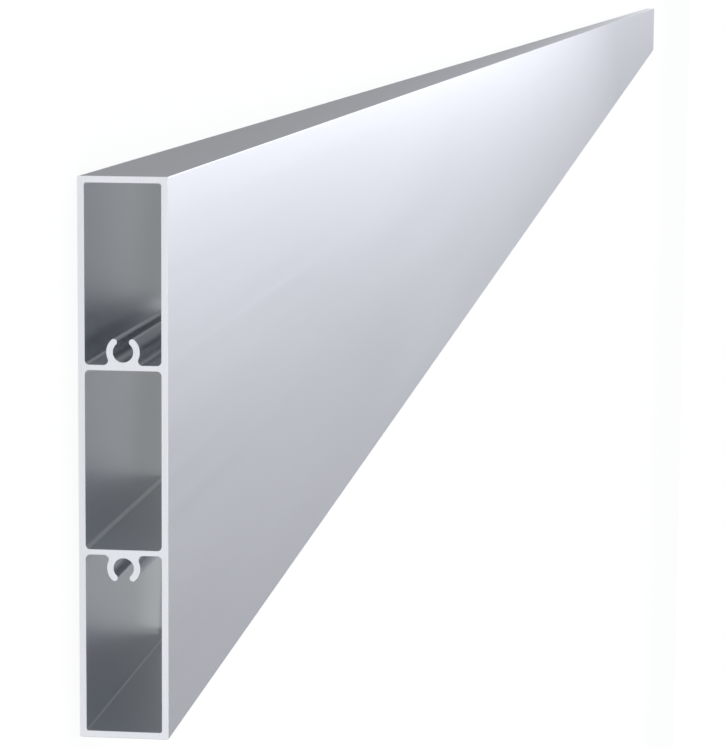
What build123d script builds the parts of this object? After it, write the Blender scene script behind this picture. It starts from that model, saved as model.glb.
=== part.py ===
from build123d import *
import math
import os

# Outer size of the bar, which lies on one of its wide faces and is sawn square at both ends
length = 6500.0
width = 100.0
thickness = 16.0
outer_edge_radius = 0.2

# Hollow inside: equal chambers side by side across the width, parted by webs
wall = 1.2
web_thickness = 1.0
web_count = 2
box_corner_radius = 0.4
web_corner_radius = 0.8

# Screw ports: C-shaped channels on the outer faces of the outermost webs, open towards the narrow sides
port_bore = 3.6
port_wall = 1.2
port_lip_gap = 2.1
port_seat = 0.5
port_root_radius = 0.8

# The chambers share what the walls and webs leave
inner_width = width - 2 * wall
inner_thickness = thickness - 2 * wall
chamber_width = (inner_width - web_count * web_thickness) / (web_count + 1)
web_pitch = chamber_width + web_thickness
outermost_web = (web_count - 1) / 2 * web_pitch

# A port's ring is bent round its bore, and its two rounded lips leave the gap between them
bore_radius = port_bore / 2
ring_radius = bore_radius + port_wall / 2
port_radius = bore_radius + port_wall
lip_angle = math.degrees(math.asin((port_lip_gap + port_wall) / 2 / ring_radius))
port_height = port_seat + bore_radius
port_web_face = outermost_web + web_thickness / 2
port_centre = port_web_face + port_height

# The section stands across the bar's own axis, which runs along X half the thickness above the floor
across_bar = Plane(origin=(0, 0, thickness / 2), x_dir=(0, 1, 0), z_dir=(1, 0, 0))

# One screw port, with its bore at the origin, its mouth towards +X and its foot on the web
with BuildSketch() as screw_port:
    with Locations((-port_height, 0)):
        Rectangle(port_height, port_bore, align=(Align.MIN, Align.CENTER))
    Circle(bore_radius, mode=Mode.SUBTRACT)
    SlotArc(CenterArc((0, 0), ring_radius, lip_angle, 360 - 2 * lip_angle), port_wall)
    with Locations((-port_height, 0)):
        Rectangle(port_radius, 2 * port_radius, align=(Align.MAX, Align.CENTER), mode=Mode.SUBTRACT)

# The extruded bar: one section along the whole length
with BuildPart() as extrusion_profile:
    with BuildSketch(across_bar) as section:
        RectangleRounded(width, thickness, outer_edge_radius)
        RectangleRounded(inner_width, inner_thickness, box_corner_radius, mode=Mode.SUBTRACT)

        # Webs, rounded where they meet the wide walls
        with GridLocations(web_pitch, 0, web_count, 1):
            Rectangle(web_thickness, inner_thickness)
        web_corners = section.vertices().filter_by(lambda v: abs(v.X) < outermost_web + web_thickness)
        fillet(web_corners, web_corner_radius)

        # Screw ports, back to back, rounded where they stand on the webs
        with PolarLocations(port_centre, 2):
            add(screw_port.sketch)
        port_roots = section.vertices().filter_by(
            lambda v: abs(v.X) < port_web_face + port_seat / 2 and abs(v.Y) < port_radius
        )
        fillet(port_roots, port_root_radius)
    extrude(amount=length / 2, both=True)

extrusion_profile.part.label = "extrusion_profile"
os.makedirs("parts", exist_ok=True)
export_step(extrusion_profile.part, "parts/extrusion_profile.step")
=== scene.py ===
import math
import bmesh
import bpy
from mathutils import Matrix, Vector


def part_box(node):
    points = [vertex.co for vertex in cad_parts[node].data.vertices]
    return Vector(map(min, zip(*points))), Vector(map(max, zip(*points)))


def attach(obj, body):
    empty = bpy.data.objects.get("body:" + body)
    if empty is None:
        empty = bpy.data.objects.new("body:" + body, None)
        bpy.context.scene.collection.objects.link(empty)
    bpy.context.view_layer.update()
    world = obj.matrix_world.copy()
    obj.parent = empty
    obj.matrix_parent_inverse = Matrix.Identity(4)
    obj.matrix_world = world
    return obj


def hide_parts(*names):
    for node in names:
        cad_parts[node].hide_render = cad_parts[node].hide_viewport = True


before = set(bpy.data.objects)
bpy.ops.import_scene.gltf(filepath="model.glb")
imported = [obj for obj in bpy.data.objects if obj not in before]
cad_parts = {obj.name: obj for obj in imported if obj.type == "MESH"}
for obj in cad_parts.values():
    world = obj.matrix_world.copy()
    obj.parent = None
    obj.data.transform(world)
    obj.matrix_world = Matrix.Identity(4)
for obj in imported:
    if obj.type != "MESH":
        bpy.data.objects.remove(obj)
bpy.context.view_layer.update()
barLow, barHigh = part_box("extrusion_profile")
barLength = barHigh.x - barLow.x
barWidth = barHigh.y - barLow.y
barThickness = barHigh.z - barLow.z
mm = 0.001    # lengths are in metres, angles in degrees
print("frame loaded, bar", round(barLength, 3), "m long")


# Shader maths: a Signal wraps a node's output, so that plain expressions add the Math nodes
class Signal:
    def __init__(self, graph, socket):
        self.graph = graph
        self.socket = socket

    def calculate(self, operation, first, second):
        return self.graph.add("ShaderNodeMath", {"operation": operation}, {0: first, 1: second})

    def __add__(self, other):
        return self.calculate("ADD", self, other)

    def __radd__(self, other):
        return self.calculate("ADD", other, self)

    def __sub__(self, other):
        return self.calculate("SUBTRACT", self, other)

    def __rsub__(self, other):
        return self.calculate("SUBTRACT", other, self)

    def __mul__(self, other):
        return self.calculate("MULTIPLY", self, other)

    def __rmul__(self, other):
        return self.calculate("MULTIPLY", other, self)

    def __pow__(self, other):
        return self.calculate("POWER", self, other)

    def __rpow__(self, other):
        return self.calculate("POWER", other, self)


class Graph:
    def __init__(self, owner):
        owner.use_nodes = True
        self.tree = owner.node_tree
        self.tree.nodes.clear()

    def add(self, kind, settings=None, inputs=None, output=0):
        node = self.tree.nodes.new(kind)
        for name, value in (settings or {}).items():
            if name == "stops":
                self.setStops(node.color_ramp, value)
            else:
                setattr(node, name, value)
        for key, value in (inputs or {}).items():
            if isinstance(value, Signal):
                self.tree.links.new(value.socket, node.inputs[key])
            else:
                node.inputs[key].default_value = value
        return Signal(self, node.outputs[output]) if node.outputs else None

    def place(self, axis=None):
        # The piece's own coordinates in metres, or one of them
        spot = self.add("ShaderNodeTexCoord", {}, {}, "Object")
        return self.add("ShaderNodeSeparateXYZ", {}, {0: spot}, axis) if axis else spot

    def blend(self, share, fromColour, toColour):
        ends = {0: share, 6: (*fromColour, 1), 7: (*toColour, 1)}
        return self.add("ShaderNodeMix", {"data_type": "RGBA"}, ends, 2)

    def setStops(self, ramp, stops):
        ramp.interpolation = "EASE"
        for index, (position, colour) in enumerate(stops):
            stop = ramp.elements[index] if index < 2 else ramp.elements.new(position)
            stop.position = position
            stop.color = (*colour, 1.0)


def linkMesh(name, bm):
    mesh = bpy.data.meshes.new(name)
    bm.to_mesh(mesh)
    bm.free()
    piece = bpy.data.objects.new(name, mesh)
    bpy.context.scene.collection.objects.link(piece)
    return piece


# The extruded section, in metres, as the part's source has it
profileSettings = {
    "wall": 1.2 * mm,
    "web": 1.0 * mm,
    "outerEdge": 0.2 * mm,
    "boxCorner": 0.4 * mm,
    "webCorner": 0.8 * mm,
    "boreRadius": 1.8 * mm,
    "portWall": 1.2 * mm,
    "lipGap": 2.1 * mm,
    "portSeat": 0.5 * mm,
    "portRoot": 0.8 * mm,
    "deburr": 0.06 * mm,
    "arcStep": 7.5,
    "sharpAngle": 32.0,
    "mergeWithin": 0.001 * mm,
    "endFacing": 0.5,    # a face belongs to a saw cut where its normal lies more than this along X
}


class SectionPen:
    # Draws outlines in the plane of the near end by extruding and spinning the pen's last vertex
    def __init__(self, bm, x):
        self.bm = bm
        self.x = x
        self.tip = None

    def start(self, y, z):
        self.tip = bmesh.ops.create_vert(self.bm, co=(self.x, y, z))["vert"][0]

    def lineTo(self, y, z):
        self.tip = bmesh.ops.extrude_vert_indiv(self.bm, verts=[self.tip])["verts"][0]
        self.tip.co = (self.x, y, z)

    def arcAbout(self, y, z, degrees):
        steps = max(2, math.ceil(abs(degrees) / profileSettings["arcStep"]))
        turned = bmesh.ops.spin(
            self.bm, geom=[self.tip], cent=(self.x, y, z), axis=(1, 0, 0),
            angle=math.radians(degrees), steps=steps, use_merge=False,
        )
        self.tip = turned["geom_last"][0]


def drawOuterQuarter(pen):
    radius = profileSettings["outerEdge"]
    side, top = barWidth / 2, barThickness / 2
    pen.start(0, top)
    pen.lineTo(side - radius, top)
    pen.arcAbout(side - radius, top - radius, -90)
    pen.lineTo(side, 0)


def drawMiddleChamberQuarter(pen, halfChamber, halfInside):
    radius = profileSettings["webCorner"]
    pen.start(0, halfInside)
    pen.lineTo(halfChamber - radius, halfInside)
    pen.arcAbout(halfChamber - radius, halfInside - radius, -90)
    pen.lineTo(halfChamber, 0)


def drawEndChamberHalf(pen, webFace, halfInside):
    s = profileSettings
    ringRadius = s["boreRadius"] + s["portWall"] / 2
    outerRadius = s["boreRadius"] + s["portWall"]
    portY = webFace + s["portSeat"] + s["boreRadius"]
    lipAngle = math.degrees(math.asin((s["lipGap"] + s["portWall"]) / 2 / ringRadius))
    rootDrop = portY - webFace - s["portRoot"]
    rootZ = math.sqrt((outerRadius + s["portRoot"]) ** 2 - rootDrop ** 2)
    rootAngle = math.degrees(math.atan2(rootZ, -rootDrop))
    lipY = portY + ringRadius * math.cos(math.radians(lipAngle))
    lipZ = ringRadius * math.sin(math.radians(lipAngle))
    farWall = barWidth / 2 - s["wall"]

    pen.start(webFace + s["portSeat"], 0)
    pen.arcAbout(portY, 0, lipAngle - 180)                       # bore
    pen.arcAbout(lipY, lipZ, 180)                                # rounded lip
    pen.arcAbout(portY, 0, rootAngle - lipAngle)                 # outside of the port
    pen.arcAbout(webFace + s["portRoot"], rootZ, -rootAngle)     # fillet on the web
    pen.lineTo(webFace, halfInside - s["webCorner"])
    pen.arcAbout(webFace + s["webCorner"], halfInside - s["webCorner"], -90)
    pen.lineTo(farWall - s["boxCorner"], halfInside)
    pen.arcAbout(farWall - s["boxCorner"], halfInside - s["boxCorner"], -90)
    pen.lineTo(farWall, 0)


def buildProfile():
    s = profileSettings
    bm = bmesh.new()
    pen = SectionPen(bm, -barLength / 2 + s["deburr"])
    halfInside = barThickness / 2 - s["wall"]
    halfChamber = (barWidth / 2 - s["wall"] - s["web"]) / 3    # half the bar holds one and a half
    drawOuterQuarter(pen)
    drawMiddleChamberQuarter(pen, halfChamber, halfInside)
    drawEndChamberHalf(pen, halfChamber + s["web"], halfInside)

    # The quarter is mirrored to the whole section, filled, and extruded along the bar
    for axis in ("Z", "Y"):
        bmesh.ops.mirror(
            bm, geom=bm.verts[:] + bm.edges[:], matrix=Matrix.Identity(4), axis=axis,
            merge_dist=s["mergeWithin"],
        )
    bmesh.ops.remove_doubles(bm, verts=bm.verts[:], dist=s["mergeWithin"])
    bmesh.ops.triangle_fill(bm, edges=bm.edges[:], use_beauty=True, use_dissolve=False)
    drawn = bmesh.ops.extrude_face_region(bm, geom=bm.faces[:])
    farVerts = [item for item in drawn["geom"] if isinstance(item, bmesh.types.BMVert)]
    bmesh.ops.translate(bm, verts=farVerts, vec=(barLength - 2 * s["deburr"], 0, 0))
    bmesh.ops.recalc_face_normals(bm, faces=bm.faces[:])

    # The sawn ends are inset and pushed out by the same amount, which breaks their sharp edges
    ends = [face for face in bm.faces if abs(face.normal.x) > s["endFacing"]]
    bmesh.ops.inset_region(
        bm, faces=ends, thickness=s["deburr"], depth=s["deburr"],
        use_even_offset=True, use_boundary=True,
    )
    bmesh.ops.translate(bm, verts=bm.verts[:], vec=(0, 0, barThickness / 2))
    for face in bm.faces:
        face.smooth = True
        face.material_index = 1 if abs(face.normal.x) > s["endFacing"] else 0
    for edge in bm.edges:
        edge.smooth = edge.calc_face_angle(math.pi) < math.radians(s["sharpAngle"])
    piece = linkMesh("profile", bm)
    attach(piece, "root")
    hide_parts("extrusion_profile")
    return piece


profile = buildProfile()
print("profile built,", len(profile.data.polygons), "faces")

noiseMiddle = 0.5    # a Noise Texture varies about this value


# Walls: satin aluminium, with the fine lines that the die draws along the bar and a faint cloudiness
wallFinish = {
    "darkColour": (0.790, 0.815, 0.868),
    "lightColour": (0.840, 0.865, 0.922),
    "roughness": 0.316,
    "lineScale": (1.5, 2600.0, 2600.0),
    "lineDetail": 3.0,
    "lineGrain": 0.6,
    "lineTone": 0.35,
    "lineRoughness": 0.035,
    "lineDepth": 0.0005 * mm,
    "cloudScale": (4.0, 45.0, 45.0),
    "cloudDetail": 2.0,
    "cloudTone": 0.9,
    "cloudRoughness": 0.025,
}


def makeWallMaterial():
    s = wallFinish
    material = bpy.data.materials.new("satinAluminium")
    graph = Graph(material)
    place = graph.place()
    drawn = graph.add("ShaderNodeMapping", {}, {"Vector": place, "Scale": s["lineScale"]})
    lines = graph.add("ShaderNodeTexNoise", {}, {
        "Vector": drawn, "Scale": 1.0, "Detail": s["lineDetail"], "Roughness": s["lineGrain"],
    }) - noiseMiddle
    broad = graph.add("ShaderNodeMapping", {}, {"Vector": place, "Scale": s["cloudScale"]})
    clouds = graph.add("ShaderNodeTexNoise", {}, {
        "Vector": broad, "Scale": 1.0, "Detail": s["cloudDetail"],
    }) - noiseMiddle
    tone = 0.5 + lines * s["lineTone"] + clouds * s["cloudTone"]
    colour = graph.blend(tone, s["darkColour"], s["lightColour"])
    dented = graph.add("ShaderNodeBump", {}, {
        "Strength": 1.0, "Distance": s["lineDepth"], "Height": lines,
    })
    shader = graph.add("ShaderNodeBsdfPrincipled", {}, {
        "Base Color": colour, "Metallic": 1.0, "Normal": dented,
        "Roughness": s["roughness"] + lines * s["lineRoughness"] - clouds * s["cloudRoughness"],
    })
    graph.add("ShaderNodeOutputMaterial", {}, {"Surface": shader})
    return material


# Ends: bright sawn metal, with the arcs that the teeth of a circular blade leave across the section
endFinish = {
    "grooveColour": (0.770, 0.789, 0.820),
    "ridgeColour": (0.850, 0.871, 0.905),
    "roughness": 0.40,
    "bladeRadius": 175 * mm,
    "toothScale": 3600.0,
    "toothDetail": 2.0,
    "toothGrain": 0.55,
    "toothTone": 1.1,
    "toothRoughness": 0.12,
    "toothDepth": 0.0016 * mm,
}


def makeEndMaterial():
    s = endFinish
    material = bpy.data.materials.new("sawnAluminium")
    graph = Graph(material)
    across = graph.place("Y")
    height = graph.place("Z")
    # All points of one tooth's arc share a feed: the height less the blade's rise from its lowest point
    feed = height - s["bladeRadius"] + (s["bladeRadius"] ** 2 - across * across) ** 0.5
    teeth = graph.add("ShaderNodeTexNoise", {"noise_dimensions": "1D"}, {
        "W": feed * s["toothScale"], "Scale": 1.0,
        "Detail": s["toothDetail"], "Roughness": s["toothGrain"],
    }) - noiseMiddle
    colour = graph.blend(0.5 + teeth * s["toothTone"], s["grooveColour"], s["ridgeColour"])
    dented = graph.add("ShaderNodeBump", {}, {
        "Strength": 1.0, "Distance": s["toothDepth"], "Height": teeth,
    })
    shader = graph.add("ShaderNodeBsdfPrincipled", {}, {
        "Base Color": colour, "Metallic": 1.0, "Normal": dented,
        "Roughness": s["roughness"] - teeth * s["toothRoughness"],
    })
    graph.add("ShaderNodeOutputMaterial", {}, {"Surface": shader})
    return material


profile.data.materials.append(makeWallMaterial())
profile.data.materials.append(makeEndMaterial())
print("materials made")


# Floor and world, white to the camera and to mirrored rays, with the bar's shadow kept in the rest
stageSettings = {
    "floorSize": 400.0,
    "floorColour": (0.9, 0.9, 0.9),
    "floorWhite": 0.88,    # the rest of the floor's look is its lit colour, which carries the shadow
    "skyColour": (0.94, 0.97, 1.0),
    "skyStrength": 0.95,
}


def whiteToCamera(graph, lit, white, share):
    rays = graph.add("ShaderNodeLightPath").socket.node
    camera, glossy, transmitted = [
        Signal(graph, rays.outputs[name])
        for name in ("Is Camera Ray", "Is Glossy Ray", "Is Transmission Ray")
    ]
    seen = (camera + glossy + transmitted) * share
    return graph.add("ShaderNodeMixShader", {}, {0: seen, 1: lit, 2: white})


def makeFloor():
    s = stageSettings
    bm = bmesh.new()
    bmesh.ops.create_grid(bm, x_segments=1, y_segments=1, size=s["floorSize"] / 2)
    floor = linkMesh("floor", bm)
    material = bpy.data.materials.new("paleFloor")
    graph = Graph(material)
    lit = graph.add("ShaderNodeBsdfDiffuse", {}, {"Color": (*s["floorColour"], 1)})
    white = graph.add("ShaderNodeEmission", {}, {"Color": (1, 1, 1, 1), "Strength": 1.0})
    seen = whiteToCamera(graph, lit, white, s["floorWhite"])
    graph.add("ShaderNodeOutputMaterial", {}, {"Surface": seen})
    floor.data.materials.append(material)


def makeWorld():
    s = stageSettings
    world = bpy.data.worlds.new("studio")
    bpy.context.scene.world = world
    graph = Graph(world)
    lit = graph.add("ShaderNodeBackground", {}, {
        "Color": (*s["skyColour"], 1), "Strength": s["skyStrength"],
    })
    white = graph.add("ShaderNodeBackground", {}, {"Color": (1, 1, 1, 1), "Strength": 1.0})
    graph.add("ShaderNodeOutputWorld", {}, {"Surface": whiteToCamera(graph, lit, white, 1.0)})


# Grey screens that only the metal mirrors: a ring round the studio, and a strip beside each long edge
screenSettings = {
    "ringRadius": 12.0,
    "ringHeight": 8.0,
    "ringSegments": 64,
    "ringTint": (1.0, 1.01, 1.065),
    # Grey by direction from the bar's middle, in degrees from +X towards +Y
    "ringGreys": {
        -180: 0.85, -110: 0.60, -35: 0.50, -18: 0.13, -11.5: 0.127,
        4.5: 0.73, 8: 1.45, 13: 1.45, 19: 0.67, 60: 0.65, 110: 0.60, 180: 0.85,
    },
    "stripWidth": 0.30,
    "stripLift": 0.5 * mm,
    "stripNear": (0.293, 0.296, 0.299),
    "stripFar": (0.69, 0.695, 0.70),
    "stripTurns": (-3.0, 2.4),    # where along X the near grey ends and the far grey begins
}


def hideFromAllButMirrors(screen):
    screen.visible_camera = False
    screen.visible_diffuse = False
    screen.visible_shadow = False
    screen.visible_transmission = False


def makeRingMaterial():
    s = screenSettings
    material = bpy.data.materials.new("ringGrey")
    graph = Graph(material)
    turn = graph.add("ShaderNodeMath", {"operation": "ARCTAN2"}, {
        0: graph.place("Y"), 1: graph.place("X"),
    })
    # One full turn fills the ramp, whose middle is +X
    stops = [
        (angle / 360 + 0.5, [grey * tint for tint in s["ringTint"]])
        for angle, grey in s["ringGreys"].items()
    ]
    grey = graph.add("ShaderNodeValToRGB", {"stops": stops}, {0: turn * (0.5 / math.pi) + 0.5})
    glow = graph.add("ShaderNodeEmission", {}, {"Color": grey, "Strength": 1.0})
    graph.add("ShaderNodeOutputMaterial", {}, {"Surface": glow})
    return material


def makeStripMaterial():
    s = screenSettings
    material = bpy.data.materials.new("stripGrey")
    graph = Graph(material)
    share = graph.add("ShaderNodeMapRange", {"interpolation_type": "SMOOTHSTEP"}, {
        "Value": graph.place("X"), "From Min": s["stripTurns"][0], "From Max": s["stripTurns"][1],
    })
    grey = graph.blend(share, s["stripNear"], s["stripFar"])
    glow = graph.add("ShaderNodeEmission", {}, {"Color": grey, "Strength": 1.0})
    graph.add("ShaderNodeOutputMaterial", {}, {"Surface": glow})
    return material


def makeScreens():
    s = screenSettings
    bm = bmesh.new()
    bmesh.ops.create_circle(bm, segments=s["ringSegments"], radius=s["ringRadius"])
    drawn = bmesh.ops.extrude_edge_only(bm, edges=bm.edges[:])
    raised = [item for item in drawn["geom"] if isinstance(item, bmesh.types.BMVert)]
    bmesh.ops.translate(bm, verts=raised, vec=(0, 0, s["ringHeight"]))
    ring = linkMesh("screenRing", bm)
    ring.data.materials.append(makeRingMaterial())
    stripMaterial = makeStripMaterial()
    for side, name in ((1, "screenStripLeft"), (-1, "screenStripRight")):
        bm = bmesh.new()
        bmesh.ops.create_grid(bm, x_segments=1, y_segments=1, size=0.5)
        bmesh.ops.scale(bm, verts=bm.verts[:], vec=(barLength, s["stripWidth"], 1))
        across = side * (barWidth + s["stripWidth"]) / 2
        bmesh.ops.translate(bm, verts=bm.verts[:], vec=(0, across, s["stripLift"]))
        strip = linkMesh(name, bm)
        strip.data.materials.append(stripMaterial)
    for name in ("screenRing", "screenStripLeft", "screenStripRight"):
        hideFromAllButMirrors(bpy.data.objects[name])


# Lamps: a wide soft one overhead, and two small ones that only the metal mirrors, along its wide face
lampSettings = {
    "overhead": {
        "place": (0, 0, 5), "aim": (0, 0, 0), "size": (9, 4), "power": 150,
        "mirrored": False, "lights": True,
    },
    "sheen": {
        "place": (-1.95, 0.2, 1.65), "aim": (-2.6, 0, 0), "size": (0.46, 0.3), "power": 26.8,
        "mirrored": True, "lights": False,
    },
    "glint": {
        "place": (-0.25, 0.18, 0.79), "aim": (-2.6, 0, 0), "size": (0.3, 0.3), "power": 0.94,
        "mirrored": True, "lights": False,
    },
}

# Panels inside both ends: one even, one aimed, and one low in the chamber on the -Y side. Depth is from
# the end, middle and share are parts of the hollow, rise and swing turn the aim towards +Y and +Z
panelSettings = {
    "colour": (0.978, 1.0, 0.975),
    "glows": {
        "Glow": {
            "depth": 0.083, "middle": (0, 0), "share": (1, 1),
            "power": 0.0009, "spread": 180.0, "rise": 0.0, "swing": 0.0,
        },
        "Beam": {
            "depth": 0.083, "middle": (0, 0), "share": (1, 1),
            "power": 0.0002, "spread": 60.0, "rise": 14.0, "swing": 10.0,
        },
        "Foot": {
            "depth": 0.082, "middle": (-0.337, -0.2), "share": (0.31, 0.6),
            "power": 0.0000118, "spread": 45.0, "rise": 16.0, "swing": -10.0,
        },
    },
}


def makeLamp(name, place, aim, size, power, mirrored=True, lights=True, colour=(1, 1, 1), spread=180.0):
    data = bpy.data.lights.new(name, "AREA")
    data.color = colour
    data.spread = math.radians(spread)
    data.shape = "RECTANGLE"
    data.size, data.size_y = size
    data.energy = power
    lamp = bpy.data.objects.new(name, data)
    bpy.context.scene.collection.objects.link(lamp)
    lamp.visible_camera = False
    lamp.visible_glossy = mirrored
    lamp.visible_diffuse = lights
    turn = (Vector(aim) - Vector(place)).to_track_quat("-Z", "Y")
    lamp.matrix_world = Matrix.Translation(place) @ turn.to_matrix().to_4x4()


def makeLamps():
    for name, s in lampSettings.items():
        makeLamp(name, s["place"], s["aim"], s["size"], s["power"], s["mirrored"], s["lights"])
    # The few bounces of a render lose the daylight that a hollow bar pipes along, so panels replace it
    hollowWidth = barWidth - 2 * profileSettings["wall"]
    hollowHeight = barThickness - 2 * profileSettings["wall"]
    for end, name in ((-1, "near"), (1, "far")):
        for part, s in panelSettings["glows"].items():
            place = Vector((
                end * (barLength / 2 - s["depth"]),
                hollowWidth * s["middle"][0],
                hollowHeight * s["middle"][1] + barThickness / 2,
            ))
            rise, swing = (math.tan(math.radians(s[turn])) for turn in ("rise", "swing"))
            aim = place + Vector((end, rise, swing))
            size = (hollowWidth * s["share"][0], hollowHeight * s["share"][1])
            makeLamp(
                name + part, place, aim, size, s["power"],
                colour=panelSettings["colour"], spread=s["spread"],
            )


makeFloor()
makeWorld()
makeScreens()
makeLamps()
print("stage set")


# Camera at the photograph's viewing angle: close to the near end, above it, and turned on its side
cameraSettings = {
    "place": (-3.73518, 0.0818, 0.10531),
    "aim": (-2.9505, -0.0240, 0.0160),
    "roll": 0.445,
    "lens": 136.90,
    "sensor": 36.0,
    "shift": (0.0, 0.0),
    "clip": (0.01, 500.0),
    "pictureUp": (0, 1, 0),
}


def makeCamera():
    s = cameraSettings
    data = bpy.data.cameras.new("camera")
    data.sensor_width = s["sensor"]
    data.lens = s["lens"]
    data.shift_x, data.shift_y = s["shift"]
    data.clip_start, data.clip_end = s["clip"]
    camera = bpy.data.objects.new("camera", data)
    bpy.context.scene.collection.objects.link(camera)
    forward = (Vector(s["aim"]) - Vector(s["place"])).normalized()
    right = forward.cross(Vector(s["pictureUp"])).normalized()
    up = right.cross(forward)
    axes = Matrix((right, up, -forward)).transposed().to_4x4()
    roll = Matrix.Rotation(math.radians(s["roll"]), 4, "Z")
    camera.matrix_world = Matrix.Translation(s["place"]) @ axes @ roll
    bpy.context.scene.camera = camera


makeCamera()
bpy.context.scene.view_settings.view_transform = "Standard"
